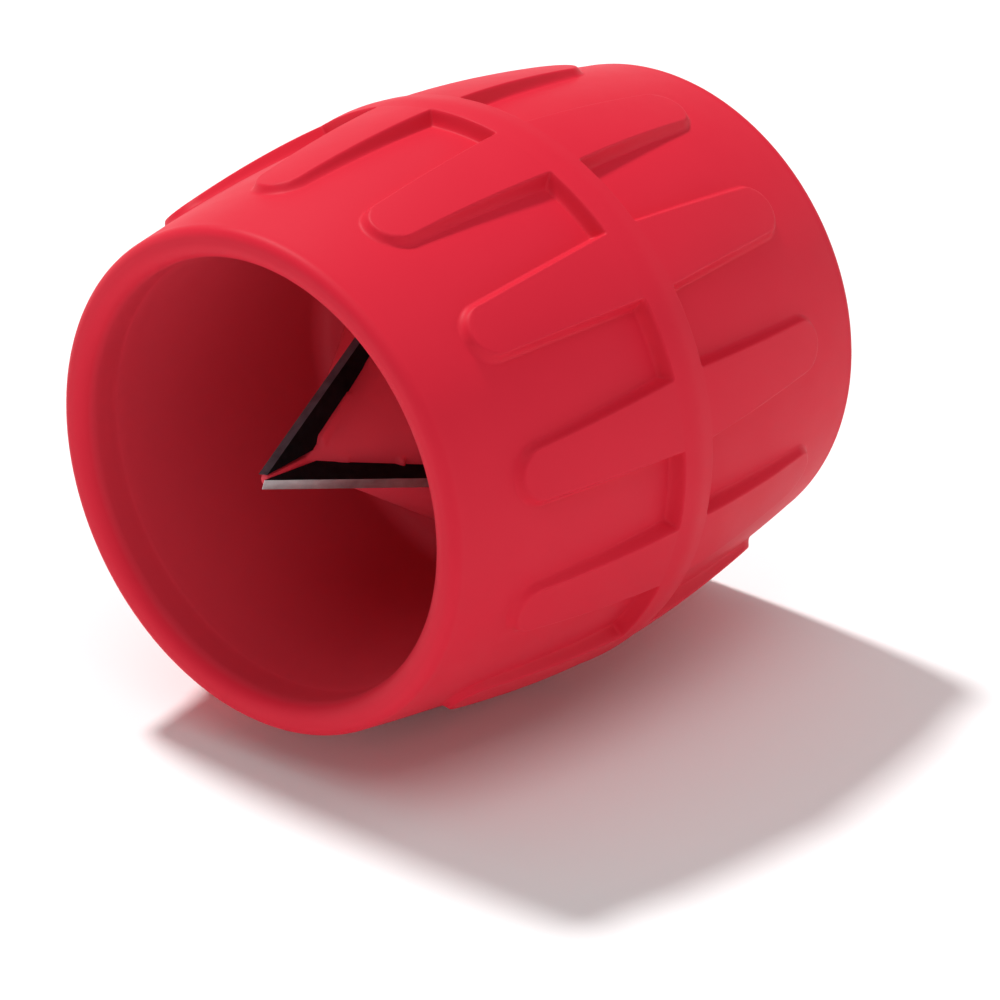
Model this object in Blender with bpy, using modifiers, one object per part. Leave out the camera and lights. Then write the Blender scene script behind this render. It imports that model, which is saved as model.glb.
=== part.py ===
"""Tube deburring tool: a barrel-shaped hand tool with a cutting cone in one end and a funnel in the other.

Metres, +Z up. The tool lies on its side on z = 0, with its axis along Y. The mouth with the cutting cone
faces -Y, the funnel faces +Y, and the origin is on the floor under the middle of the barrel.

Every piece is drawn upright about a local Z axis that starts at the funnel's rim and ends at the mouth,
and the empty tool_axis lays them all down. Depths are measured from the mouth's rim into the tool.
"""

import math

import bmesh
import bpy
from mathutils import Matrix, Vector

MM = 0.001
GAP = 0.3 * MM  # between pieces that touch
CUT_PAST = 1.0 * MM  # by which a cutter runs past the face it opens
SHARP_ANGLE = math.radians(30)

# Barrel
LENGTH = 54.0 * MM
CREST_RADIUS = 26.0 * MM
BELT_HALF_WIDTH = 1.9 * MM
CREST_LAND = 0.4 * MM
GRIP_RADIUS = 24.3 * MM  # of the surface between the fingers, beside the belt
GRIP_DROP = 2.2 * MM  # by which that surface narrows towards each rim
GRIP_POWER = 1.9
FINGER_RADIUS = 25.75 * MM  # of the fingers' faces, which run on into the belt
FINGER_DROP = 3.35 * MM
FINGER_POWER = 1.7
LIP_ROUND = 1.0 * MM
MOUTH_RADIUS = 19.4 * MM
MOUTH_ROUND = 1.5 * MM
SIDE_POINTS = 7  # along one half of the barrel's outline
ROUND_POINTS = 5  # along a quarter round
TURN_STEPS = 72
RELIEF_RADIUS = 30.0 * MM  # outer radius of the rings that are cut away between the fingers

# Grip fingers
FINGERS = 12
FINGER_TIP_DEPTH = 7.3 * MM
FINGER_TIP_ROUND = 2.25 * MM
FINGER_TIP_POINTS = 9
FINGER_STENCIL_THICKNESS = 10.0 * MM
FINGER_BELT_HALF_WIDTH = 3.25 * MM
FINGER_TURN = math.radians(11.4)  # of one finger's centre above +X, as the tool lies

# Cone wall: the cutting cone in front of it, the funnel behind it
WALL_SLOPE = math.tan(math.radians(32.5))
CONE_APEX_DEPTH = 5.5 * MM
FUNNEL_APEX_DEPTH = 14.2 * MM
NOSE_RADIUS = 0.8 * MM
NOSE_DEPTH = 1.8 * MM
CUP_DEPTH = 29.5 * MM
CUP_BOTTOM_RADIUS = 19.0 * MM
SHELF_DEPTH = 37.3 * MM
SPLIT_DEPTH = 33.4 * MM  # of the flat joint between the two shells
SPIGOT_RADIUS = 22.0 * MM

# Blades
BLADES = 3
BLADE_ANGLES = [math.radians(90 + 120 * n) for n in range(BLADES)]
BLADE_THICKNESS = 1.0 * MM
BLADE_SLOPE = math.tan(math.radians(29))
BLADE_TIP_DEPTH = 1.5 * MM
BLADE_TIP_RADIUS = 0.6 * MM
BLADE_CORE_RADIUS = 0.5 * MM
BLADE_OUTER_RADIUS = 18.0 * MM
BLADE_REAR_RADIUS = 1.5 * MM  # where its funnel edge starts
BLADE_REAR_APEX_DEPTH = 14.7 * MM

# Pins that lock the blades between the shells
PIN_RADIUS = 1.0 * MM
PIN_LENGTH = 7.0 * MM
PIN_AXIS_RADIUS = 12.0 * MM
PIN_CHAMFER = 0.2 * MM

# Screws that clamp the shells, and the threaded inserts they turn in
SCREW_ANGLES = [math.radians(30 + 120 * n) for n in range(BLADES)]
SCREW_AXIS_RADIUS = 17.0 * MM
SCREW_RADIUS = 1.0 * MM
SCREW_TIP_DEPTH = 30.9 * MM
HEAD_RADIUS = 1.9 * MM
HEAD_HEIGHT = 1.6 * MM
HEAD_SEAT_DEPTH = 35.4 * MM
HEAD_EDGE = 0.25 * MM
SOCKET_RADIUS = 0.9 * MM
SOCKET_DEPTH = 0.9 * MM
INSERT_RADIUS = 1.7 * MM
INSERT_BORE_RADIUS = 1.3 * MM
INSERT_FRONT_DEPTH = 30.6 * MM
INSERT_REAR_DEPTH = 33.1 * MM
SCREW_POINT = 0.6  # of the shank's radius: the chamfer at the tip
SMALL_TURN_STEPS = 24

HALF_LENGTH = LENGTH / 2
AXIS_HEIGHT = CREST_RADIUS * math.cos(math.pi / TURN_STEPS)  # the barrel rests on one of its facets
RED_PLASTIC = (0.78, 0.035, 0.05, 1.0)
BLACK_STEEL = (0.012, 0.012, 0.014, 1.0)
PLAIN_STEEL = (0.55, 0.56, 0.58, 1.0)
ZINC_STEEL = (0.62, 0.62, 0.6, 1.0)
BRASS = (0.72, 0.5, 0.19, 1.0)


def clear_scene():
    for obj in list(bpy.data.objects):
        bpy.data.objects.remove(obj, do_unlink=True)


def add_collection(name):
    collection = bpy.data.collections.new(name)
    bpy.context.scene.collection.children.link(collection)
    return collection


def add_material(name, colour, roughness, metallic=0.0):
    material = bpy.data.materials.new(name)
    material.use_nodes = True
    shader = material.node_tree.nodes["Principled BSDF"]
    shader.inputs["Base Color"].default_value = colour
    shader.inputs["Roughness"].default_value = roughness
    shader.inputs["Metallic"].default_value = metallic
    material.diffuse_color = colour
    return material


def add_tool_axis():
    """The empty that turns the upright tool to its resting place: mouth to -Y, on the floor."""
    axis = bpy.data.objects.new("tool_axis", None)
    axis.rotation_mode = "ZYX"
    axis.rotation_euler = (math.radians(90), 0, FINGER_TURN)
    axis.location = (0, HALF_LENGTH, AXIS_HEIGHT)
    bpy.context.scene.collection.objects.link(axis)
    return axis


def height(depth):
    """Local Z of a depth below the mouth's rim."""
    return LENGTH - depth


def place(mesh, name, collection, parent, location=(0, 0, 0), rotation=(0, 0, 0)):
    obj = bpy.data.objects.new(name, mesh)
    obj.location = location
    obj.rotation_euler = rotation
    obj.parent = parent
    collection.objects.link(obj)
    return obj


def as_cutter(obj):
    obj.hide_render = True
    obj.display_type = "WIRE"
    return obj


def around_axis(radius, angle, z=0):
    return (radius * math.cos(angle), radius * math.sin(angle), z)


def profile_mesh(name, points):
    """An open or closed line of (radius, z) points in the XZ plane, which a Screw modifier turns."""
    mesh = bpy.data.meshes.new(name)
    vertices = [(radius, 0, z) for radius, z in points]
    edges = [(n, n + 1) for n in range(len(points) - 1)]
    if points[0][0] > 0:
        edges.append((len(points) - 1, 0))
    mesh.from_pydata(vertices, edges, [])
    return mesh


def add_turning(obj, steps):
    screw = obj.modifiers.new("turning", "SCREW")
    screw.axis = "Z"
    screw.steps = steps
    screw.render_steps = steps
    screw.use_merge_vertices = True
    screw.merge_threshold = 0.00001
    screw.use_smooth_shade = False
    return screw


def cut(obj, cutters, operation="DIFFERENCE"):
    for cutter in cutters:
        boolean = obj.modifiers.new(f"cut_{cutter.name}", "BOOLEAN")
        boolean.operation = operation
        boolean.solver = "EXACT"
        boolean.object = cutter


def plate_mesh(name, outline, thickness):
    """A plate of a closed (x, z) outline, centred on the XZ plane, made from a filled 2D curve."""
    curve = bpy.data.curves.new(name, "CURVE")
    curve.dimensions = "2D"
    curve.fill_mode = "BOTH"
    curve.extrude = thickness / 2
    spline = curve.splines.new("POLY")
    spline.points.add(len(outline) - 1)
    for point, (x, z) in zip(spline.points, outline):
        point.co = (x, z, 0, 1)
    spline.use_cyclic_u = True
    drawing = bpy.data.objects.new(name, curve)
    bpy.context.scene.collection.objects.link(drawing)
    graph = bpy.context.evaluated_depsgraph_get()
    mesh = bpy.data.meshes.new_from_object(drawing.evaluated_get(graph))
    bpy.data.objects.remove(drawing)
    bpy.data.curves.remove(curve)
    solid = bmesh.new()
    solid.from_mesh(mesh)
    bmesh.ops.remove_doubles(solid, verts=solid.verts, dist=0.00001)
    bmesh.ops.rotate(solid, verts=solid.verts, matrix=Matrix.Rotation(math.pi / 2, 3, "X"))
    bmesh.ops.recalc_face_normals(solid, faces=solid.faces)
    solid.to_mesh(mesh)
    solid.free()
    return mesh


def cylinder_mesh(name, radius, bottom, top, segments=SMALL_TURN_STEPS):
    mesh = bpy.data.meshes.new(name)
    solid = bmesh.new()
    bmesh.ops.create_cone(
        solid, cap_ends=True, segments=segments, radius1=radius, radius2=radius, depth=top - bottom
    )
    bmesh.ops.translate(solid, verts=solid.verts, vec=(0, 0, (top + bottom) / 2))
    solid.to_mesh(mesh)
    solid.free()
    return mesh


# Barrel outline. `out` is the distance from the nearer rim, so one outline serves both ends.


def grip_radius(out):
    return GRIP_RADIUS - GRIP_DROP * (1 - out / HALF_LENGTH) ** GRIP_POWER


def finger_radius(out):
    return FINGER_RADIUS - FINGER_DROP * (1 - out / HALF_LENGTH) ** FINGER_POWER


def stations(first, last, count):
    return [first + (last - first) * n / (count - 1) for n in range(count)]


def arc(centre, radius, start, end, count):
    """Points on an arc given by angles in degrees, as (x, y) pairs."""
    angles = [math.radians(a) for a in stations(start, end, count)]
    return [(centre[0] + radius * math.cos(a), centre[1] + radius * math.sin(a)) for a in angles]


def barrel_side():
    """(radius, out) from the rim to the parting face, over the fingers and the belt."""
    belt = HALF_LENGTH - BELT_HALF_WIDTH
    side = [(finger_radius(out), out) for out in stations(0, belt, SIDE_POINTS)]
    side += [(CREST_RADIUS, HALF_LENGTH - CREST_LAND), (CREST_RADIUS, HALF_LENGTH - GAP / 2)]
    return side


def mouth_edge():
    """(radius, out) round the rounded edge between the mouth's wall and its flat rim."""
    centre = (MOUTH_RADIUS + MOUTH_ROUND, MOUTH_ROUND)
    return arc(centre, MOUTH_ROUND, 180, 270, ROUND_POINTS)


def relief_side():
    """(radius, out) along the surface between the fingers, with the rim's rounded outer edge."""
    lip = grip_radius(LIP_ROUND)
    side = arc((lip - LIP_ROUND, LIP_ROUND), LIP_ROUND, -90, 0, ROUND_POINTS)
    grip = stations(LIP_ROUND, HALF_LENGTH - BELT_HALF_WIDTH, SIDE_POINTS + 1)[1:]
    return side + [(grip_radius(out), out) for out in grip]


def from_mouth(points):
    return [(radius, LENGTH - out) for radius, out in points]


def from_funnel(points):
    return list(points)


def split_cone(depth_shift):
    """(radius, z) at the axis and at the flat joint, on the cone halfway through the wall."""
    apex = (CONE_APEX_DEPTH + FUNNEL_APEX_DEPTH) / 2 + depth_shift
    face = SPLIT_DEPTH + math.copysign(GAP / 2, depth_shift)
    return (0, height(apex)), ((face - apex) * WALL_SLOPE, height(face))


def front_shell_profile():
    half_gap_along_axis = GAP / 2 / math.sin(math.atan(WALL_SLOPE))
    apex, foot = split_cone(-half_gap_along_axis)
    nose_end = CONE_APEX_DEPTH + NOSE_RADIUS / WALL_SLOPE
    cone_foot = (CUP_DEPTH - CONE_APEX_DEPTH) * WALL_SLOPE
    inside = [
        (0, height(NOSE_DEPTH)),
        (NOSE_RADIUS, height(NOSE_DEPTH)),
        (NOSE_RADIUS, height(nose_end)),
        (cone_foot, height(CUP_DEPTH)),
        (CUP_BOTTOM_RADIUS, height(CUP_DEPTH)),
    ]
    outside = from_mouth(mouth_edge() + barrel_side())
    spigot = [(SPIGOT_RADIUS, outside[-1][1]), (SPIGOT_RADIUS, foot[1])]
    return inside + outside + spigot + [foot, apex]


def rear_shell_profile():
    half_gap_along_axis = GAP / 2 / math.sin(math.atan(WALL_SLOPE))
    apex, foot = split_cone(half_gap_along_axis)
    outside = from_funnel(mouth_edge() + barrel_side())
    socket = SPIGOT_RADIUS + GAP
    funnel_foot = (SHELF_DEPTH - FUNNEL_APEX_DEPTH) * WALL_SLOPE
    joint = [apex, foot, (socket, foot[1]), (socket, outside[-1][1])]
    inside = [
        (CUP_BOTTOM_RADIUS, height(SHELF_DEPTH)),
        (funnel_foot, height(SHELF_DEPTH)),
        (0, height(FUNNEL_APEX_DEPTH)),
    ]
    return joint + outside[::-1] + inside


def add_finger_stencils(collection, axis):
    """The outlines of all the fingers as one cutter: each runs across the belt to both its tips."""
    reach = HALF_LENGTH - FINGER_TIP_DEPTH - FINGER_TIP_ROUND
    tip = arc((0, reach), FINGER_TIP_ROUND, 0, 180, FINGER_TIP_POINTS)
    half = [(FINGER_BELT_HALF_WIDTH, 0)] + tip + [(-FINGER_BELT_HALF_WIDTH, 0)]
    outline = half + [(x, -z) for x, z in half[-2:0:-1]]
    block = plate_mesh("finger_stencils", outline, FINGER_STENCIL_THICKNESS)
    single = bmesh.new()
    single.from_mesh(block)
    bmesh.ops.translate(single, verts=single.verts, vec=(0, CREST_RADIUS, HALF_LENGTH))
    single.to_mesh(block)
    single.free()
    every = bmesh.new()
    for n in range(FINGERS):
        turned = block.copy()
        turned.transform(Matrix.Rotation(math.tau * n / FINGERS, 4, "Z"))
        every.from_mesh(turned)
        bpy.data.meshes.remove(turned)
    every.to_mesh(block)
    every.free()
    return as_cutter(place(block, "finger_stencils", collection, axis))


def add_relief(name, end, stencils, collection, axis):
    """The ring round one end that is cut away down to the grip surface, leaving the fingers."""
    side = end(relief_side())
    past_rim = end([(side[0][0], -CUT_PAST)])[0]
    corners = [past_rim, (RELIEF_RADIUS, past_rim[1]), (RELIEF_RADIUS, side[-1][1])]
    loop = [corners[1], corners[2]] + side[::-1] + [corners[0]]
    if end is from_funnel:
        loop.reverse()
    ring = as_cutter(place(profile_mesh(name, loop), name, collection, axis))
    add_turning(ring, TURN_STEPS)
    cut(ring, [stencils])
    return ring


def blade_outline():
    """(radius, z) corners: the cone edge, the outer end, the funnel edge and the end near the axis."""
    cone_edge_end = BLADE_TIP_DEPTH + (BLADE_OUTER_RADIUS - BLADE_TIP_RADIUS) / BLADE_SLOPE
    funnel_edge_end = BLADE_REAR_APEX_DEPTH + BLADE_OUTER_RADIUS / BLADE_SLOPE
    funnel_edge_start = BLADE_REAR_APEX_DEPTH + BLADE_REAR_RADIUS / BLADE_SLOPE
    return [
        (BLADE_CORE_RADIUS, height(BLADE_TIP_DEPTH)),
        (BLADE_REAR_RADIUS, height(funnel_edge_start)),
        (BLADE_OUTER_RADIUS, height(funnel_edge_end)),
        (BLADE_OUTER_RADIUS, height(cone_edge_end)),
        (BLADE_TIP_RADIUS, height(BLADE_TIP_DEPTH)),
    ]


def grown(outline, by):
    """A counter-clockwise convex outline with every side moved outwards."""
    sides = []
    for start, end in zip(outline, outline[1:] + outline[:1]):
        along = (Vector(end) - Vector(start)).normalized()
        out = Vector((along.y, -along.x))
        sides.append((Vector(start) + out * by, along))
    corners = []
    for (a, along_a), (b, along_b) in zip(sides[-1:] + sides[:-1], sides):
        reach = (b - a).cross(along_b) / along_a.cross(along_b)
        corners.append(tuple(a + along_a * reach))
    return corners


def add_blade_slots(collection, axis):
    mesh = plate_mesh("blade_slot", grown(blade_outline(), GAP), BLADE_THICKNESS + 2 * GAP)
    return [
        as_cutter(place(mesh, f"blade_slot_{n + 1}", collection, axis, rotation=(0, 0, angle)))
        for n, angle in enumerate(BLADE_ANGLES)
    ]


def pin_depth():
    return (CONE_APEX_DEPTH + FUNNEL_APEX_DEPTH) / 2 + PIN_AXIS_RADIUS / WALL_SLOPE


def pin_place(angle):
    return {
        "location": around_axis(PIN_AXIS_RADIUS, angle, height(pin_depth())),
        "rotation": (math.pi / 2, 0, angle),
    }


def add_pin_pockets(collection, axis):
    reach = PIN_LENGTH / 2 + GAP
    mesh = cylinder_mesh("pin_pocket", PIN_RADIUS + GAP, -reach, reach)
    return [
        as_cutter(place(mesh, f"pin_pocket_{n + 1}", collection, axis, **pin_place(angle)))
        for n, angle in enumerate(BLADE_ANGLES)
    ]


def add_bores(name, radius, front_depth, rear_depth, collection, axis):
    """One axial hole at each screw, between two depths."""
    mesh = cylinder_mesh(name, radius, height(rear_depth), height(front_depth))
    return [
        as_cutter(place(mesh, f"{name}_{n + 1}", collection, axis, around_axis(SCREW_AXIS_RADIUS, angle)))
        for n, angle in enumerate(SCREW_ANGLES)
    ]


def add_shells(parts, cutters, axis, plastic):
    stencils = add_finger_stencils(cutters, axis)
    slots = add_blade_slots(cutters, axis)
    pockets = add_pin_pockets(cutters, axis)
    past_split = SPLIT_DEPTH + CUT_PAST
    insert_pockets = add_bores(
        "insert_pocket", INSERT_RADIUS + GAP, INSERT_FRONT_DEPTH - GAP, past_split, cutters, axis
    )
    shank_holes = add_bores(
        "shank_hole", SCREW_RADIUS + GAP, SPLIT_DEPTH - CUT_PAST, SHELF_DEPTH, cutters, axis
    )
    head_recesses = add_bores(
        "head_recess", HEAD_RADIUS + GAP, HEAD_SEAT_DEPTH - GAP, SHELF_DEPTH + CUT_PAST, cutters, axis
    )
    shells = (
        ("front_shell", front_shell_profile(), from_mouth, slots + pockets + insert_pockets),
        ("rear_shell", rear_shell_profile(), from_funnel, slots + pockets + shank_holes + head_recesses),
    )
    for name, profile, end, holes in shells:
        shell = place(profile_mesh(name, profile), name, parts, axis)
        shell.data.materials.append(plastic)
        add_turning(shell, TURN_STEPS)
        relief = add_relief(f"{name}_relief", end, stencils, cutters, axis)
        cut(shell, [relief] + holes)
    return pockets


def add_blades(parts, axis, pockets, steel):
    for n, angle in enumerate(BLADE_ANGLES):
        name = f"blade_{n + 1}"
        mesh = plate_mesh(name, blade_outline(), BLADE_THICKNESS)
        mesh.materials.append(steel)
        blade = place(mesh, name, parts, axis, rotation=(0, 0, angle))
        cut(blade, [pockets[n]])


def add_blade_pins(parts, axis, steel):
    half = PIN_LENGTH / 2
    profile = [
        (0, half),
        (PIN_RADIUS - PIN_CHAMFER, half),
        (PIN_RADIUS, half - PIN_CHAMFER),
        (PIN_RADIUS, PIN_CHAMFER - half),
        (PIN_RADIUS - PIN_CHAMFER, -half),
        (0, -half),
    ]
    mesh = profile_mesh("blade_pin", profile)
    mesh.materials.append(steel)
    for n, angle in enumerate(BLADE_ANGLES):
        pin = place(mesh, f"blade_pin_{n + 1}", parts, axis, **pin_place(angle))
        add_turning(pin, SMALL_TURN_STEPS)


def add_clamp_screws(parts, cutters, axis, steel):
    """Cap screws that point to the mouth, with a hexagon socket in the head."""
    head_end = HEAD_SEAT_DEPTH + HEAD_HEIGHT
    profile = [
        (0, height(SCREW_TIP_DEPTH)),
        (SCREW_RADIUS * SCREW_POINT, height(SCREW_TIP_DEPTH)),
        (SCREW_RADIUS, height(SCREW_TIP_DEPTH + SCREW_RADIUS * SCREW_POINT)),
        (SCREW_RADIUS, height(HEAD_SEAT_DEPTH)),
        (HEAD_RADIUS, height(HEAD_SEAT_DEPTH)),
        (HEAD_RADIUS, height(head_end - HEAD_EDGE)),
        (HEAD_RADIUS - HEAD_EDGE, height(head_end)),
        (0, height(head_end)),
    ]
    mesh = profile_mesh("clamp_screw", profile)
    mesh.materials.append(steel)
    socket_floor = height(head_end - SOCKET_DEPTH)
    socket = cylinder_mesh("socket", SOCKET_RADIUS, height(head_end + CUT_PAST), socket_floor, 6)
    for n, angle in enumerate(SCREW_ANGLES):
        spot = around_axis(SCREW_AXIS_RADIUS, angle)
        screw = place(mesh, f"clamp_screw_{n + 1}", parts, axis, spot)
        add_turning(screw, SMALL_TURN_STEPS)
        cut(screw, [as_cutter(place(socket, f"socket_{n + 1}", cutters, axis, spot))])


def add_inserts(parts, axis, brass):
    front, rear = height(INSERT_FRONT_DEPTH), height(INSERT_REAR_DEPTH)
    profile = [
        (INSERT_RADIUS, front),
        (INSERT_RADIUS, rear),
        (INSERT_BORE_RADIUS, rear),
        (INSERT_BORE_RADIUS, front),
    ]
    mesh = profile_mesh("thread_insert", profile)
    mesh.materials.append(brass)
    for n, angle in enumerate(SCREW_ANGLES):
        spot = around_axis(SCREW_AXIS_RADIUS, angle)
        insert = place(mesh, f"thread_insert_{n + 1}", parts, axis, spot)
        add_turning(insert, SMALL_TURN_STEPS)


def finish(parts):
    """Apply the parts' modifiers and shade their round faces smooth, with their corners kept sharp."""
    graph = bpy.context.evaluated_depsgraph_get()
    solids = [(part, bpy.data.meshes.new_from_object(part.evaluated_get(graph))) for part in parts.objects]
    for part, mesh in solids:
        mesh.name = part.name
        mesh.shade_smooth()
        mesh.set_sharp_from_angle(angle=SHARP_ANGLE)
        part.modifiers.clear()
        part.data = mesh


def main():
    clear_scene()
    parts = add_collection("deburring_tool")
    cutters = add_collection("cutters")
    axis = add_tool_axis()
    pockets = add_shells(parts, cutters, axis, add_material("red_plastic", RED_PLASTIC, 0.45))
    add_blades(parts, axis, pockets, add_material("black_steel", BLACK_STEEL, 0.4, 1.0))
    add_blade_pins(parts, axis, add_material("plain_steel", PLAIN_STEEL, 0.3, 1.0))
    add_clamp_screws(parts, cutters, axis, add_material("zinc_steel", ZINC_STEEL, 0.35, 1.0))
    add_inserts(parts, axis, add_material("brass", BRASS, 0.35, 1.0))
    finish(parts)


main()
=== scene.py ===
"""The looks of the deburring tool: fine moulded shells, ground blades, screws, floor, lights and camera.

The tool lies along Y with its mouth at the low end. Depths are measured from a rim into the tool, and
angles turn about the tool's axis from +X towards +Z. Lengths are in metres.
"""

import math

import bmesh
import bpy
import numpy as np
from mathutils import Matrix, Vector


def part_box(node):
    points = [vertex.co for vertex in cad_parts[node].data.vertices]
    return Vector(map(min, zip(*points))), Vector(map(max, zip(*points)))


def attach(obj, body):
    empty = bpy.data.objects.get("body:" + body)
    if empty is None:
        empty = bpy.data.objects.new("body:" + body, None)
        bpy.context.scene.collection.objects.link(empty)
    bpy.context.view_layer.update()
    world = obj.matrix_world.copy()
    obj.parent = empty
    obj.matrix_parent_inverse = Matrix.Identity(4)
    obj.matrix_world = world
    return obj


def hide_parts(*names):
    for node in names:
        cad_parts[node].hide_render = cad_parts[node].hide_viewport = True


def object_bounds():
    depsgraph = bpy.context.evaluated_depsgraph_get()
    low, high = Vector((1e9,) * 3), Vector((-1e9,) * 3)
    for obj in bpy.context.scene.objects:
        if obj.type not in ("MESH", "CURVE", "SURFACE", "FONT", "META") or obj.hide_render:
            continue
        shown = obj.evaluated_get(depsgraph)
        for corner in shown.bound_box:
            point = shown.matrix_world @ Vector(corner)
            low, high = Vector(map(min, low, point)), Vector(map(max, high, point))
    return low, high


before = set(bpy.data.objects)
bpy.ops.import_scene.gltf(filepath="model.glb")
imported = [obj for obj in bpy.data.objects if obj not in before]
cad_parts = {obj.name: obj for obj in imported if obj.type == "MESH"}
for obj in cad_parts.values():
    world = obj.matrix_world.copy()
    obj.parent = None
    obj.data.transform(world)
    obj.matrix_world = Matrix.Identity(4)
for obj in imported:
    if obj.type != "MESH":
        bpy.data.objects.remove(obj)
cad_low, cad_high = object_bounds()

MM = 0.001

# Barrel, from the frame
LENGTH = cad_high.y - cad_low.y
HALF_LENGTH = LENGTH / 2
CREST_RADIUS = (cad_high.z - cad_low.z) / 2
AXIS_HEIGHT = (cad_high.z + cad_low.z) / 2
MOUTH_Y = cad_low.y

# Barrel outline
BELT_HALF_WIDTH = 1.9 * MM
CREST_ROUND = 0.8 * MM
GRIP_RADIUS = 24.5 * MM
GRIP_DROP = 2.4 * MM
GRIP_POWER = 1.9
FINGER_RADIUS = 25.84 * MM
FINGER_DROP = 3.44 * MM
FINGER_POWER = 1.7
LIP_ROUND = 1.0 * MM
MOUTH_RADIUS = 19.4 * MM
MOUTH_ROUND = 1.5 * MM

# Fingers
FINGERS = 12
FINGER_TURN = math.radians(11.4)
FINGER_TIP_DEPTH = 7.3 * MM
FINGER_TIP_ROUND = 2.25 * MM
FINGER_BELT_HALF_WIDTH = 3.25 * MM
WALL_RUN = 0.65 * MM  # how far out from a finger's edge its side wall reaches
EDGE_BLEND = 0.4  # share of a finger's height that its rounded edge takes
EDGE_COLUMNS = (10, 16, 7)  # on a finger, over its edge and wall, and between the fingers
EDGE_STRIP = 0.3 * MM  # of a raised face, inside its edge, with columns and rings as fine as the wall's
COLUMN_MARGIN = 1.05  # where the fine columns end, in runs of the wall
RING_MARGIN = 1.1  # where the fine rings end, in runs of the wall and rounds of the tip
CORNER_ROUND = 0.25 * MM

# Cup, cone and funnel
WALL_SLOPE = math.tan(math.radians(32.5))
CONE_APEX_DEPTH = 5.5 * MM
FUNNEL_APEX_DEPTH = 14.2 * MM
NOSE_RADIUS = 0.58 * MM
NOSE_DEPTH = 1.6 * MM
NOSE_ROUND = 0.25 * MM
CONE_FINE_END = 8 * MM  # radius up to which the cone has fine rings
FOOT_START = 0.6 * MM  # how far inside the cone's foot its fillet starts, and how far outside it ends
FOOT_END = 0.8 * MM
FOOT_FILLET = [(-0.2 * MM, 0.45 * MM), (0.3 * MM, 0.1 * MM)]  # between them: outside the foot, over the floor
CUP_DEPTH = 29.5 * MM
CUP_BOTTOM_RADIUS = 19.0 * MM
SHELF_DEPTH = 37.3 * MM
FLOOR_ROUND = 1.6 * MM
WALL_START = FLOOR_ROUND * 1.4  # over the floor, where the wall's even rings start
WALL_END = MOUTH_ROUND * 1.1  # and from the rim, where they end
FIRST_RING = 0.2 * MM  # radius of the ring next to the funnel's bottom
SPLIT_DEPTH = 33.4 * MM
SHELL_GAP = 0.1 * MM
SPIGOT_RADIUS = 22.0 * MM
RECESS_RADIUS = 2.05 * MM  # round a screw's head
RECESS_HEIGHT = 3.8 * MM

# Blades
BLADE_ANGLES = [FINGER_TURN + math.radians(90 + 120 * n) for n in range(3)]
BLADE_THICKNESS = 1.0 * MM
BLADE_SLOPE = math.tan(math.radians(29))
BLADE_TIP_DEPTH = 1.5 * MM  # where its cutting edge is BLADE_TIP_RADIUS from the axis
BLADE_TIP_RADIUS = 0.6 * MM
BLADE_TIPS = [0.6 * MM, 1.1 * MM, 0.35 * MM]  # how far from the axis each cutting edge starts
BLADE_OUTER_RADIUS = 18.0 * MM
BLADE_REAR_RADIUS = 1.5 * MM
BLADE_REAR_APEX_DEPTH = 14.7 * MM
BLADE_BEVEL = 0.04 * MM
TIP_FLAT = 0.05 * MM
SLOT_GAP = 0.03 * MM

# Raised flash on the cone along a blade: blade, side, shallow end, deep end, and height at each of them
FLASH = [
    (0, -1, 7.7 * MM, 12.4 * MM, 0.40 * MM, 0.12 * MM),
    (0, -1, 14.6 * MM, 16.2 * MM, 0.08 * MM, 0.14 * MM),
    (2, 1, 12.8 * MM, 13.5 * MM, 0.40 * MM, 0.30 * MM),
    (2, 1, 8.2 * MM, 9.4 * MM, 0.06 * MM, 0.12 * MM),
    (1, 1, 9.0 * MM, 13.0 * MM, 0.30 * MM, 0.10 * MM),
    (1, -1, 11.0 * MM, 12.2 * MM, 0.15 * MM, 0.25 * MM),
    (0, 1, 12.0 * MM, 13.4 * MM, 0.10 * MM, 0.30 * MM),
    (2, -1, 8.0 * MM, 11.5 * MM, 0.25 * MM, 0.10 * MM),
]
FLASH_WIDTH = 0.5 * MM
FLASH_FULL_WIDTHS = 0.6  # how far from the blade the flash keeps its height, in widths
FLASH_UNDER = 0.2 * MM  # how far it reaches in under the blade's middle
FLASH_RISE = 0.3 * MM  # length of its shallow end's slope
FLASH_FALL = 0.15 * MM  # and of its deep end's

# Faint ring on the cup's wall
WALL_STEP_DEPTH = 3.8 * MM
WALL_STEP_RUN = 0.2 * MM
WALL_STEP = 0.05 * MM

# Where the red turns from the inside's greyer tone, which is painted shade for the shaded mouth, to the
# outside's
SHADED_INSIDE_START = MOUTH_RADIUS - 0.1 * MM
SHADED_INSIDE_END = MOUTH_RADIUS + 0.3 * MM

# Camera
CAMERA_AZIMUTH = math.radians(40.21)
CAMERA_ELEVATION = math.radians(24.59)
CAMERA_LENS = 162
CAMERA_SENSOR = 36
AIM = Vector((0, -CREST_RADIUS, AXIS_HEIGHT))
AIM_RIGHT, AIM_DOWN, AIM_AHEAD = -19.86 * MM, -1.42 * MM, 372.6 * MM  # the aim as seen from the camera

# Lights and floor
LIT_POINT = Vector((0, 0, 0.02))
SKY = 0.1
WALL_GLOW = 1.64
WALL_FADE = 4
FLOOR_HALF_WIDTH = 4.0

TURN_STEPS = 2 * FINGERS * sum(EDGE_COLUMNS)


# ---------------------------------------------------------------- mesh helpers


def point_at(radius, angle, depth):
    return Vector((radius * math.cos(angle), MOUTH_Y + depth, AXIS_HEIGHT + radius * math.sin(angle)))


def add_object(name, data):
    obj = bpy.data.objects.new(name, data)
    bpy.context.scene.collection.objects.link(obj)
    return obj


def shade(mesh, sharp_degrees):
    mesh.shade_smooth()
    mesh.set_sharp_from_angle(angle=math.radians(sharp_degrees))


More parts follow.
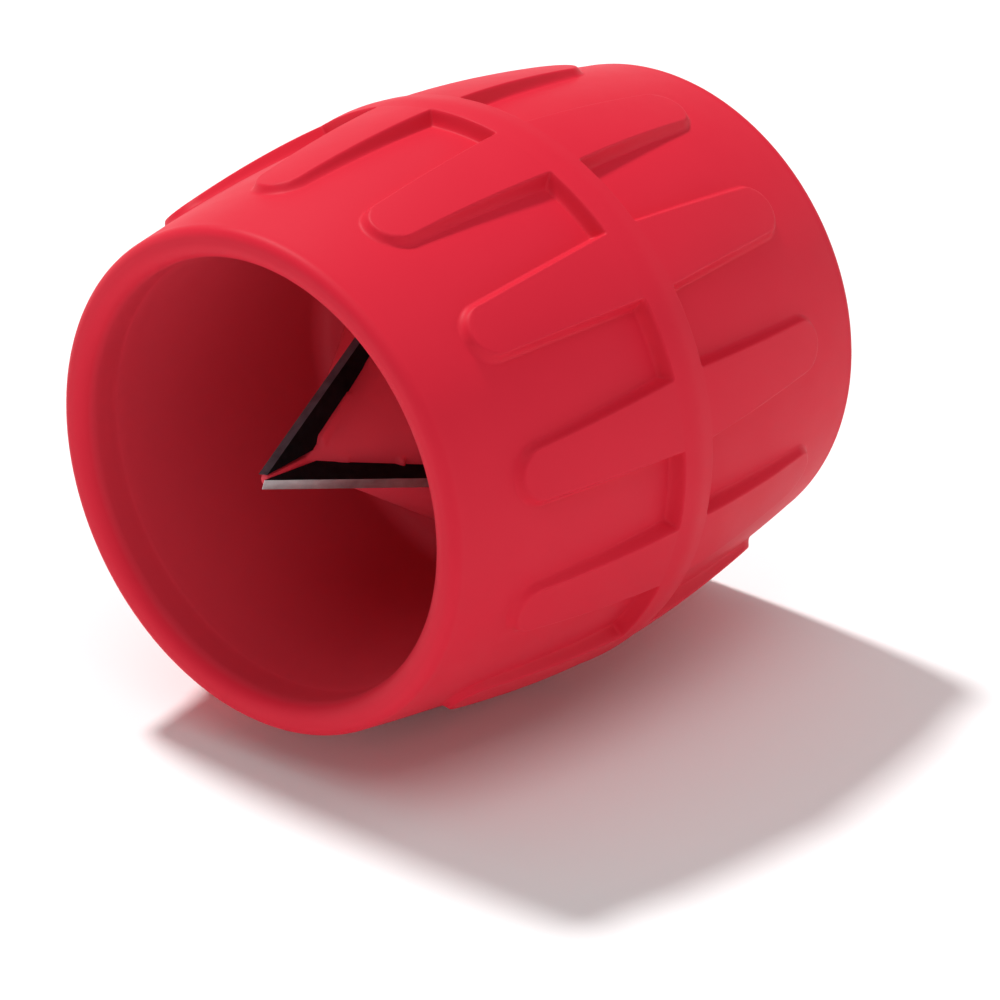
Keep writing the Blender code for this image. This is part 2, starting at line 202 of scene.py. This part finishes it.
def grid_mesh(name, radii, depths, turns):
    """A closed skin from rings of points, in arrays of (ring, column). Rings on the axis become poles."""
    rings, columns = radii.shape
    x = radii * np.cos(turns)
    z = radii * np.sin(turns) + AXIS_HEIGHT
    vertices = np.stack([x, MOUTH_Y + depths, z], axis=2).reshape(-1, 3)
    column = np.arange(columns)
    nxt = (column + 1) % columns
    faces = []
    for ring in range(rings - 1):
        a, b = ring * columns, (ring + 1) * columns
        faces.append(np.stack([a + column, b + column, b + nxt, a + nxt], axis=1))
    mesh = bpy.data.meshes.new(name)
    mesh.from_pydata(vertices.tolist(), [], np.concatenate(faces).tolist())
    solid = bmesh.new()
    solid.from_mesh(mesh)
    bmesh.ops.remove_doubles(solid, verts=solid.verts, dist=1e-8)
    bmesh.ops.recalc_face_normals(solid, faces=solid.faces)
    solid.to_mesh(mesh)
    solid.free()
    return mesh


def apply_modifiers(obj):
    graph = bpy.context.evaluated_depsgraph_get()
    mesh = bpy.data.meshes.new_from_object(obj.evaluated_get(graph))
    obj.modifiers.clear()
    obj.data = mesh


def cut(obj, cutters):
    for cutter in cutters:
        boolean = obj.modifiers.new(cutter.name, "BOOLEAN")
        boolean.operation = "DIFFERENCE"
        boolean.solver = "EXACT"
        boolean.object = cutter
    apply_modifiers(obj)


def ring_arc(centre, radius, start, end, count):
    """(radius, depth) points on an arc, from angles in degrees."""
    angles = np.radians(np.linspace(start, end, count))
    return [(centre[0] + radius * math.cos(a), centre[1] + radius * math.sin(a)) for a in angles]


def line(start, end, count):
    """Points from start to end, without the last."""
    share = np.linspace(0, 1, count, endpoint=False)
    return [(start[0] + (end[0] - start[0]) * s, start[1] + (end[1] - start[1]) * s) for s in share]


# ---------------------------------------------------------------- barrel


def smooth_least(a, b, blend):
    """The smaller of two distances, with the crease between them rounded."""
    share = np.clip(0.5 + (b - a) / (2 * blend), 0, 1)
    return b + (a - b) * share - blend * share * (1 - share)


def grip_radius(out):
    return GRIP_RADIUS - GRIP_DROP * (1 - out / HALF_LENGTH) ** GRIP_POWER


def finger_radius(out):
    return FINGER_RADIUS - FINGER_DROP * (1 - out / HALF_LENGTH) ** FINGER_POWER


def belt_radius(out):
    """Two slopes that meet at the crest, where they are rounded."""
    back = HALF_LENGTH - out
    slope = (CREST_RADIUS - finger_radius(HALF_LENGTH - BELT_HALF_WIDTH)) / BELT_HALF_WIDTH
    rounded = np.clip(CREST_ROUND - back, 0, None) ** 2 / (2 * CREST_ROUND)
    return CREST_RADIUS - slope * (back + rounded)


def finger_half_width(out):
    tip_centre = FINGER_TIP_DEPTH + FINGER_TIP_ROUND
    widening = (FINGER_BELT_HALF_WIDTH - FINGER_TIP_ROUND) / (HALF_LENGTH - tip_centre)
    return FINGER_TIP_ROUND + widening * np.clip(out - tip_centre, 0, None)


def finger_distance(out, across):
    """Signed distance to a finger's outline: negative inside it."""
    beyond = np.clip(FINGER_TIP_DEPTH + FINGER_TIP_ROUND - out, 0, None)
    return np.hypot(across, beyond) - finger_half_width(out)


def raised_radius(out):
    return np.where(out < HALF_LENGTH - BELT_HALF_WIDTH, finger_radius(out), belt_radius(out))


def column_turns(out):
    """The angle of each column at each distance from the rim: close together along the fingers' edges."""
    on, edge, between = EDGE_COLUMNS
    radius = finger_radius(out)
    half = finger_half_width(out)
    edge_start = (half - EDGE_STRIP) / radius
    edge_end = (half + COLUMN_MARGIN * WALL_RUN) / radius
    marks = np.stack([0 * out, edge_start, edge_end, 0 * out + math.pi / FINGERS])
    parts = []
    for low, high, count in zip(marks[:-1], marks[1:], (on, edge, between)):
        parts.append(low[:, None] + (high - low)[:, None] * np.arange(count) / count)
    rising = np.concatenate(parts + [marks[3][:, None]], axis=1)
    one = np.concatenate([rising[:, :-1], math.tau / FINGERS - rising[:, :0:-1]], axis=1)
    fingers = [one + math.tau / FINGERS * n for n in range(FINGERS)]
    return np.concatenate(fingers, axis=1) + FINGER_TURN


def barrel_radii(out, turns):
    """The barrel's radius at each distance from the rim (rows) and each column round it."""
    out = out[:, None]
    pitch = math.tau / FINGERS
    offset = (turns - FINGER_TURN + pitch / 2) % pitch - pitch / 2
    across = finger_radius(out) * np.abs(np.sin(offset))
    belt = HALF_LENGTH - out - BELT_HALF_WIDTH + 0 * across
    outside = smooth_least(finger_distance(out, across), belt, CORNER_ROUND)
    rise = np.clip(1 - outside / WALL_RUN, 0, None) ** 2
    base = grip_radius(out)
    return base + (raised_radius(out) - base) * smooth_least(rise, 1, EDGE_BLEND)


def lip_outline():
    """(radius, out) over the rim, from the mouth's wall to the barrel's side."""
    lip = float(grip_radius(LIP_ROUND))
    inner = ring_arc((MOUTH_RADIUS + MOUTH_ROUND, MOUTH_ROUND), MOUTH_ROUND, 180, 270, 14)
    outer = ring_arc((lip - LIP_ROUND, LIP_ROUND), LIP_ROUND, -90, 0, 12)
    flat = line(inner[-1], outer[0], 4)[1:]
    return inner + flat + outer[:-1]


def barrel_outline():
    """Distances from the rim of the rings along the barrel's side, close together where it steps.

    Each stretch has a start and a number of rings.
    """
    belt_edge = HALF_LENGTH - BELT_HALF_WIDTH
    just_before_crest = HALF_LENGTH - 0.001 * MM
    marks = [
        (LIP_ROUND, 10),
        (FINGER_TIP_DEPTH - WALL_RUN * RING_MARGIN, 34),
        (FINGER_TIP_DEPTH + FINGER_TIP_ROUND * RING_MARGIN, 30),
        (belt_edge - WALL_RUN * RING_MARGIN, 16),
        (belt_edge + EDGE_STRIP, 6),
        (HALF_LENGTH - CREST_ROUND, 8),
        (just_before_crest, 0),
    ]
    parts = [np.linspace(a, b, n, endpoint=False) for (a, n), (b, _) in zip(marks, marks[1:])]
    return np.concatenate(parts + [[marks[-1][0]]])


def shell_rings(inside, outside_end, from_rear, relief=None):
    """Radii, depths and turns of a whole shell: inside profile, rim, fingers and the hidden joint faces."""
    out = barrel_outline()
    turns = column_turns(out)
    side = barrel_radii(out, turns)

    def rings(points, turn_row):
        radii = np.array([r for r, _ in points])[:, None] * np.ones((1, TURN_STEPS))
        depths = np.array([d for _, d in points])[:, None] * np.ones((1, TURN_STEPS))
        return radii, depths, np.ones((len(points), 1)) * turn_row

    def depth(values):
        return LENGTH - values if from_rear else values

    inner = rings(inside, turns[:1])
    if relief:
        inner = (inner[0] + relief(*inner), inner[1], inner[2])
    lip_radii, lip_out, lip_turns = rings(lip_outline(), turns[:1])
    end = rings(outside_end, turns[-1:])
    blocks = [
        inner,
        (lip_radii, depth(lip_out), lip_turns),
        (side, depth(out)[:, None] * np.ones((1, TURN_STEPS)), turns),
        end,
    ]
    return [np.concatenate([block[n] for block in blocks]) for n in range(3)]


def cone_depth(radius):
    return CONE_APEX_DEPTH + radius / WALL_SLOPE


def funnel_depth(radius):
    return FUNNEL_APEX_DEPTH + radius / WALL_SLOPE


def mid_depth(radius, side):
    half_gap = SHELL_GAP / 2 / math.sin(math.atan(WALL_SLOPE))
    return (CONE_APEX_DEPTH + FUNNEL_APEX_DEPTH) / 2 + radius / WALL_SLOPE + side * half_gap


def mid_radius(depth, side):
    return (depth - mid_depth(0, side)) * WALL_SLOPE


def cone_points():
    """From the nose down the cone to its fillet."""
    foot = cone_foot()
    points = [(0, NOSE_DEPTH), (NOSE_RADIUS * 0.5, NOSE_DEPTH)]
    points += ring_arc((NOSE_RADIUS - NOSE_ROUND, NOSE_DEPTH + NOSE_ROUND), NOSE_ROUND, -90, 0, 5)
    neck = (NOSE_RADIUS, cone_depth(NOSE_RADIUS))
    fine_end = (CONE_FINE_END, cone_depth(CONE_FINE_END))
    fillet = (foot - FOOT_START, cone_depth(foot - FOOT_START))
    points += line((NOSE_RADIUS, NOSE_DEPTH + 2 * NOSE_ROUND), neck, 10)
    return points + line(neck, fine_end, 90) + line(fine_end, fillet, 24)


def cone_foot():
    return (CUP_DEPTH - CONE_APEX_DEPTH) * WALL_SLOPE


def front_inside():
    """From the nose down the cone, across the floor and up the cup's wall to the mouth."""
    foot = cone_foot()
    points = cone_points()
    points += [(foot + out, CUP_DEPTH - height) for out, height in FOOT_FILLET]
    points += line((foot + FOOT_END, CUP_DEPTH), (CUP_BOTTOM_RADIUS - FLOOR_ROUND, CUP_DEPTH), 4)
    centre = (CUP_BOTTOM_RADIUS - FLOOR_ROUND, CUP_DEPTH - FLOOR_ROUND)
    points += ring_arc(centre, FLOOR_ROUND, 90, 0, 8)
    step_start = (MOUTH_RADIUS - WALL_STEP, WALL_STEP_DEPTH + WALL_STEP_RUN)
    step_end = (MOUTH_RADIUS, WALL_STEP_DEPTH - WALL_STEP_RUN)
    points += line((CUP_BOTTOM_RADIUS, CUP_DEPTH - WALL_START), step_start, 20)
    return points + line(step_start, step_end, 4) + line(step_end, (MOUTH_RADIUS, WALL_END), 4)


def flash_height(radii, depths, turns):
    """How far the cone's surface is raised by the flash along the blades."""
    raised = 0 * radii
    for blade, side, start, end, first, last in FLASH:
        across = radii * np.sin(turns - BLADE_ANGLES[blade]) * side
        ahead = (np.cos(turns - BLADE_ANGLES[blade]) > 0) * (radii < CUP_BOTTOM_RADIUS - FLOOR_ROUND)
        share = np.clip((depths - start) / (end - start), 0, 1)
        ends = np.clip((depths - start) / FLASH_RISE, 0, 1) * np.clip((end - depths) / FLASH_FALL, 0, 1)
        widths_away = (across - BLADE_THICKNESS / 2) / FLASH_WIDTH
        beside = np.clip(1 + FLASH_FULL_WIDTHS - widths_away, 0, 1) * (across > -FLASH_UNDER)
        raised += (first + (last - first) * share) * ends * beside * ahead
    return raised


def joint_faces(side, spigot_radius):
    """A shell's hidden faces, from the belt to the axis. The front shell's side is -1, the rear's 1."""
    joint = SPLIT_DEPTH + side * SHELL_GAP / 2
    foot = mid_radius(joint, side)
    points = [(spigot_radius, HALF_LENGTH + side * SHELL_GAP / 2), (spigot_radius, joint)]
    return points + [(foot, joint), (foot / 2, mid_depth(foot / 2, side)), (0, mid_depth(0, side))]


def add_front_mesh():
    end = joint_faces(-1, SPIGOT_RADIUS)
    return grid_mesh("front_moulding", *shell_rings(front_inside(), end, False, flash_height))


def rear_inside():
    """From the funnel's bottom out to the shelf and along the bore to the rear rim."""
    foot = (SHELF_DEPTH - FUNNEL_APEX_DEPTH) * WALL_SLOPE
    points = [(0, FUNNEL_APEX_DEPTH)]
    points += line((FIRST_RING, funnel_depth(FIRST_RING)), (foot, SHELF_DEPTH), 40)
    points += line((foot, SHELF_DEPTH), (CUP_BOTTOM_RADIUS - FLOOR_ROUND, SHELF_DEPTH), 6)
    centre = (CUP_BOTTOM_RADIUS - FLOOR_ROUND, SHELF_DEPTH + FLOOR_ROUND)
    points += ring_arc(centre, FLOOR_ROUND, -90, 0, 8)
    wall_end = (MOUTH_RADIUS, LENGTH - WALL_END)
    return points + line((CUP_BOTTOM_RADIUS, SHELF_DEPTH + WALL_START), wall_end, 12)


def add_rear_mesh():
    end = joint_faces(1, SPIGOT_RADIUS + SHELL_GAP)
    return grid_mesh("rear_moulding", *shell_rings(rear_inside(), end, True))


# ---------------------------------------------------------------- blades


def edge_depth(radius):
    return BLADE_TIP_DEPTH + (radius - BLADE_TIP_RADIUS) / BLADE_SLOPE


def blade_outline(tip):
    """(radius, depth) corners of a blade whose cutting edge starts at the tip's radius."""
    funnel_end = BLADE_REAR_APEX_DEPTH + BLADE_OUTER_RADIUS / BLADE_SLOPE
    funnel_start = BLADE_REAR_APEX_DEPTH + BLADE_REAR_RADIUS / BLADE_SLOPE
    return [
        (tip, edge_depth(tip)),
        (BLADE_OUTER_RADIUS, edge_depth(BLADE_OUTER_RADIUS)),
        (BLADE_OUTER_RADIUS, funnel_end),
        (BLADE_REAR_RADIUS, funnel_start),
        (tip - TIP_FLAT, edge_depth(tip)),
    ]


def plate(name, outline, thickness, angle, grown=0.0):
    """A flat plate through the tool's axis, standing at an angle, from (radius, depth) corners."""
    corners = [Vector(p) for p in outline]
    if grown:
        corners = grow(corners, grown)
    across = Vector((-math.sin(angle), 0, math.cos(angle))) * (thickness / 2)
    solid = bmesh.new()
    near = [solid.verts.new(point_at(r, angle, d) - across) for r, d in corners]
    far = [solid.verts.new(point_at(r, angle, d) + across) for r, d in corners]
    solid.faces.new(near)
    solid.faces.new(far[::-1])
    count = len(corners)
    for n in range(count):
        m = (n + 1) % count
        solid.faces.new((near[n], near[m], far[m], far[n]))
    bmesh.ops.recalc_face_normals(solid, faces=solid.faces)
    mesh = bpy.data.meshes.new(name)
    solid.to_mesh(mesh)
    solid.free()
    return mesh


def grow(corners, by):
    """The outline with every side moved out."""
    sides = []
    for start, end in zip(corners, corners[1:] + corners[:1]):
        along = (end - start).normalized()
        sides.append((start + Vector((-along.y, along.x)) * -by, along))
    grown = []
    for (a, along_a), (b, along_b) in zip(sides[-1:] + sides[:-1], sides):
        reach = (b - a).cross(along_b) / along_a.cross(along_b)
        grown.append(a + along_a * reach)
    return grown


def add_slot_cutters():
    width = BLADE_THICKNESS + 2 * SLOT_GAP
    return [
        add_object(f"slot_{n}", plate("slot", blade_outline(tip), width, angle, SLOT_GAP))
        for n, (angle, tip) in enumerate(zip(BLADE_ANGLES, BLADE_TIPS))
    ]


# ---------------------------------------------------------------- materials


class Nodes:
    """A material's node tree with short calls to add and link nodes."""

    def __init__(self, name):
        self.material = bpy.data.materials.new(name)
        self.material.use_nodes = True
        self.tree = self.material.node_tree
        self.shader = self.tree.nodes["Principled BSDF"]
        self.place = self.add("ShaderNodeTexCoord").outputs["Object"]

    def add(self, kind, **values):
        node = self.tree.nodes.new(kind)
        for key, value in values.items():
            if key in node.inputs:
                node.inputs[key].default_value = value
            else:
                setattr(node, key, value)
        return node

    def link(self, out, into):
        self.tree.links.new(out, into)

    def noise(self, scale, detail):
        node = self.add("ShaderNodeTexNoise", Scale=scale, Detail=detail)
        self.link(self.place, node.inputs["Vector"])
        return node.outputs["Fac"]

    def ramp(self, value, low, high):
        """A colour that goes from low to high over the middle of the value's range."""
        node = self.add("ShaderNodeValToRGB")
        first, last = node.color_ramp.elements
        first.position, last.position = 0.3, 0.7
        first.color, last.color = (*low, 1), (*high, 1)
        self.link(value, node.inputs["Fac"])
        return node.outputs["Color"]

    def roughness(self, value, low, high):
        self.link(self.spread(value, low, high), self.shader.inputs["Roughness"])

    def base_colour(self, value, low, high):
        self.link(self.ramp(value, low, high), self.shader.inputs["Base Color"])

    def mix(self, share, first, second):
        node = self.add("ShaderNodeMixRGB")
        for value, socket in zip((share, first, second), node.inputs):
            self.link(value, socket)
        return node.outputs["Color"]

    def axis_distance(self):
        """How far a point is from the tool's axis."""
        out = self.place
        for operation, by in (("SUBTRACT", (0, 0, AXIS_HEIGHT)), ("MULTIPLY", (1, 0, 1))):
            node = self.add("ShaderNodeVectorMath", operation=operation)
            node.inputs[1].default_value = by
            self.link(out, node.inputs[0])
            out = node.outputs["Vector"]
        length = self.add("ShaderNodeVectorMath", operation="LENGTH")
        self.link(out, length.inputs[0])
        return length.outputs["Value"]

    def spread(self, value, low, high, start=0.0, end=1.0):
        node = self.add("ShaderNodeMapRange")
        node.inputs["From Min"].default_value = start
        node.inputs["From Max"].default_value = end
        node.inputs["To Min"].default_value = low
        node.inputs["To Max"].default_value = high
        self.link(value, node.inputs["Value"])
        return node.outputs["Result"]

    def bump(self, value, distance, strength=1.0, under=None):
        node = self.add("ShaderNodeBump", Strength=strength, Distance=distance)
        self.link(value, node.inputs["Height"])
        if under is not None:
            self.link(under, node.inputs["Normal"])
        return node.outputs["Normal"]


def red_plastic():
    nodes = Nodes("moulded_red_plastic")
    broad = nodes.noise(60, 2)
    fine = nodes.noise(2600, 2)
    outside = nodes.ramp(broad, (0.662, 0.0155, 0.0375), (0.687, 0.0175, 0.0405))
    # the inside's greyer red is painted shade: the same plastic, coloured as it looks in the shaded mouth
    inside = nodes.ramp(broad, (0.675, 0.043, 0.069), (0.700, 0.047, 0.073))
    painted_shade_share = nodes.spread(nodes.axis_distance(), 1, 0, SHADED_INSIDE_START, SHADED_INSIDE_END)
    nodes.link(nodes.mix(painted_shade_share, outside, inside), nodes.shader.inputs["Base Color"])
    nodes.roughness(nodes.noise(300, 4), 0.46, 0.58)
    waves = nodes.bump(broad, 0.06 * MM, 0.5)
    nodes.link(nodes.bump(fine, 0.004 * MM, 0.6, waves), nodes.shader.inputs["Normal"])
    nodes.shader.inputs["Specular IOR Level"].default_value = 0.12
    return nodes.material


def black_oxide():
    nodes = Nodes("black_oxide_steel")
    nodes.base_colour(nodes.noise(900, 4), (0.001, 0.001, 0.001), (0.006, 0.005, 0.006))
    nodes.roughness(nodes.noise(1500, 3), 0.5, 0.7)
    nodes.link(nodes.bump(nodes.noise(2500, 3), 0.02 * MM, 0.9), nodes.shader.inputs["Normal"])
    nodes.shader.inputs["Specular IOR Level"].default_value = 0.12
    return nodes.material


def worn_oxide():
    nodes = Nodes("worn_oxide_steel")
    nodes.base_colour(nodes.noise(700, 5), (0.035, 0.030, 0.038), (0.085, 0.075, 0.088))
    nodes.roughness(nodes.noise(1500, 3), 0.4, 0.6)
    nodes.link(nodes.bump(nodes.noise(3000, 3), 0.006 * MM, 0.8), nodes.shader.inputs["Normal"])
    nodes.shader.inputs["Specular IOR Level"].default_value = 0.3
    return nodes.material


def ground_steel():
    nodes = Nodes("ground_steel")
    nodes.base_colour(nodes.noise(500, 5), (0.30, 0.29, 0.30), (0.50, 0.49, 0.49))
    nodes.roughness(nodes.noise(1200, 3), 0.3, 0.5)
    nodes.link(nodes.bump(nodes.noise(3500, 3), 0.005 * MM, 0.8), nodes.shader.inputs["Normal"])
    nodes.shader.inputs["Metallic"].default_value = 0.9
    return nodes.material


def bare_metal(name, low, high, roughness):
    nodes = Nodes(name)
    nodes.base_colour(nodes.noise(700, 4), low, high)
    nodes.roughness(nodes.noise(1600, 3), roughness, roughness + 0.15)
    nodes.link(nodes.bump(nodes.noise(3000, 3), 0.005 * MM, 0.6), nodes.shader.inputs["Normal"])
    nodes.shader.inputs["Metallic"].default_value = 1.0
    return nodes.material


def floor_white():
    nodes = Nodes("white_floor")
    nodes.base_colour(nodes.noise(8, 2), (0.94, 0.94, 0.94), (0.96, 0.96, 0.96))
    nodes.shader.inputs["Roughness"].default_value = 0.9
    nodes.shader.inputs["Specular IOR Level"].default_value = 0.1
    return nodes.material


# ---------------------------------------------------------------- pieces


def add_shells(plastic):
    slots = add_slot_cutters()
    for name, mesh, node in (
        ("front_moulding", add_front_mesh(), "front_shell"),
        ("rear_moulding", add_rear_mesh(), "rear_shell"),
    ):
        shell = add_object(name, mesh)
        cutters = slots + (add_head_recesses() if node == "rear_shell" else [])
        cut(shell, cutters)
        shell.data.materials.clear()
        shell.data.materials.append(plastic)
        shade(shell.data, 50)
        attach(shell, "root")
        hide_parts(node)
        for cutter in cutters[len(slots):]:
            bpy.data.objects.remove(cutter)
    for slot in slots:
        bpy.data.objects.remove(slot)


def add_head_recesses():
    """Cutters for the round recesses in the shelf, over the screws."""
    cutters = []
    for n in range(3):
        low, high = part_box(f"clamp_screw_{n + 1}")
        centre = (Vector(low) + Vector(high)) / 2
        along_tool = Matrix.Rotation(math.pi / 2, 4, "X")
        solid = bmesh.new()
        bmesh.ops.create_cone(
            solid,
            cap_ends=True,
            segments=64,
            radius1=RECESS_RADIUS,
            radius2=RECESS_RADIUS,
            depth=RECESS_HEIGHT,
            matrix=Matrix.Translation((centre.x, MOUTH_Y + SHELF_DEPTH, centre.z)) @ along_tool,
        )
        mesh = bpy.data.meshes.new("recess")
        solid.to_mesh(mesh)
        solid.free()
        cutters.append(add_object(f"recess_{n}", mesh))
    return cutters


def add_blades(oxide, edges):
    """The blades: black faces and one kind of cutting edge each."""
    for n, (angle, tip, edge_steel) in enumerate(zip(BLADE_ANGLES, BLADE_TIPS, edges)):
        mesh = plate("steel_blade", blade_outline(tip), BLADE_THICKNESS, angle)
        mesh.materials.append(oxide)
        mesh.materials.append(edge_steel)
        side = Vector((-math.sin(angle), 0, math.cos(angle)))
        for face in mesh.polygons:
            face.material_index = 0 if abs(face.normal.dot(side)) > 0.5 else 1
        blade = add_object(f"steel_blade_{n + 1}", mesh)
        bevel = blade.modifiers.new("edge", "BEVEL")
        bevel.width = BLADE_BEVEL
        bevel.segments = 3
        apply_modifiers(blade)
        shade(blade.data, 30)
        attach(blade, "root")
        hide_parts(f"blade_{n + 1}")


def dress_nodes(name, material):
    """Give the frame's own pieces of one kind their material."""
    for n in (1, 2, 3):
        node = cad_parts[f"{name}_{n}"]
        node.data.materials.clear()
        node.data.materials.append(material)


# ---------------------------------------------------------------- stage


def add_camera():
    """A long lens that looks into the mouth from its right and from above."""
    right = Vector((math.cos(CAMERA_AZIMUTH), math.sin(CAMERA_AZIMUTH), 0))
    level = Vector((-math.sin(CAMERA_AZIMUTH), math.cos(CAMERA_AZIMUTH), 0))
    forward = level * math.cos(CAMERA_ELEVATION) - Vector((0, 0, math.sin(CAMERA_ELEVATION)))
    down = forward.cross(right)
    data = bpy.data.cameras.new("camera")
    data.sensor_width = CAMERA_SENSOR
    data.lens = CAMERA_LENS
    data.clip_start, data.clip_end = 0.01, 20
    camera = add_object("camera", data)
    camera.location = AIM - right * AIM_RIGHT - down * AIM_DOWN - forward * AIM_AHEAD
    camera.rotation_mode = "QUATERNION"
    camera.rotation_quaternion = Matrix((right, -down, -forward)).transposed().to_quaternion()
    bpy.context.scene.camera = camera


def add_area(name, place, size, power):
    """A round soft light that faces the tool."""
    data = bpy.data.lights.new(name, "AREA")
    data.shape = "DISK"
    data.size = size
    data.energy = power
    light = add_object(name, data)
    light.location = place
    light.rotation_mode = "QUATERNION"
    light.rotation_quaternion = (LIT_POINT - Vector(place)).to_track_quat("-Z", "Y")


def add_world():
    """A dim sky over bright walls all round, near the horizon."""
    world = bpy.data.worlds.new("studio")
    world.use_nodes = True
    tree = world.node_tree
    bpy.context.scene.world = world

    def maths(operation, first, second):
        node = tree.nodes.new("ShaderNodeMath")
        node.operation = operation
        for value, socket in zip((first, second), node.inputs):
            if isinstance(value, (int, float)):
                socket.default_value = value
            else:
                tree.links.new(value, socket)
        return node.outputs[0]

    split = tree.nodes.new("ShaderNodeSeparateXYZ")
    tree.links.new(tree.nodes.new("ShaderNodeTexCoord").outputs["Generated"], split.inputs[0])
    near_horizon = maths("SUBTRACT", 1, maths("ABSOLUTE", split.outputs["Z"], 0))
    walls = maths("MULTIPLY", maths("POWER", near_horizon, WALL_FADE), WALL_GLOW)
    background = tree.nodes["Background"]
    background.inputs["Color"].default_value = (1, 1, 1, 1)
    tree.links.new(maths("ADD", walls, SKY), background.inputs["Strength"])


def add_stage():
    mesh = bpy.data.meshes.new("floor")
    half = FLOOR_HALF_WIDTH
    corners = [(-half, -half, 0), (half, -half, 0), (half, half, 0), (-half, half, 0)]
    mesh.from_pydata(corners, [], [(0, 1, 2, 3)])
    floor = add_object("floor", mesh)
    mesh.materials.append(floor_white())
    add_world()
    add_area("key", (-0.92, 0.17, 1.75), 0.24, 32.0)
    add_area("right_softbox", (0.35, 0.20, 0.71), 0.5, 0.85)
    add_area("front_softbox", (0.20, -0.35, 0.71), 0.5, 0.9)
    add_area("top_softbox", (0.0, 0.0, 0.82), 0.6, 0.7)
    bpy.context.scene.view_settings.view_transform = "Standard"


add_camera()
add_stage()
add_shells(red_plastic())
worn = worn_oxide()
add_blades(black_oxide(), [worn, worn, ground_steel()])
dress_nodes("blade_pin", bare_metal("pin_steel", (0.5, 0.5, 0.52), (0.6, 0.6, 0.62), 0.2))
dress_nodes("clamp_screw", bare_metal("zinc_steel", (0.55, 0.55, 0.53), (0.68, 0.68, 0.64), 0.28))
dress_nodes("thread_insert", bare_metal("insert_brass", (0.68, 0.46, 0.17), (0.78, 0.56, 0.24), 0.25))
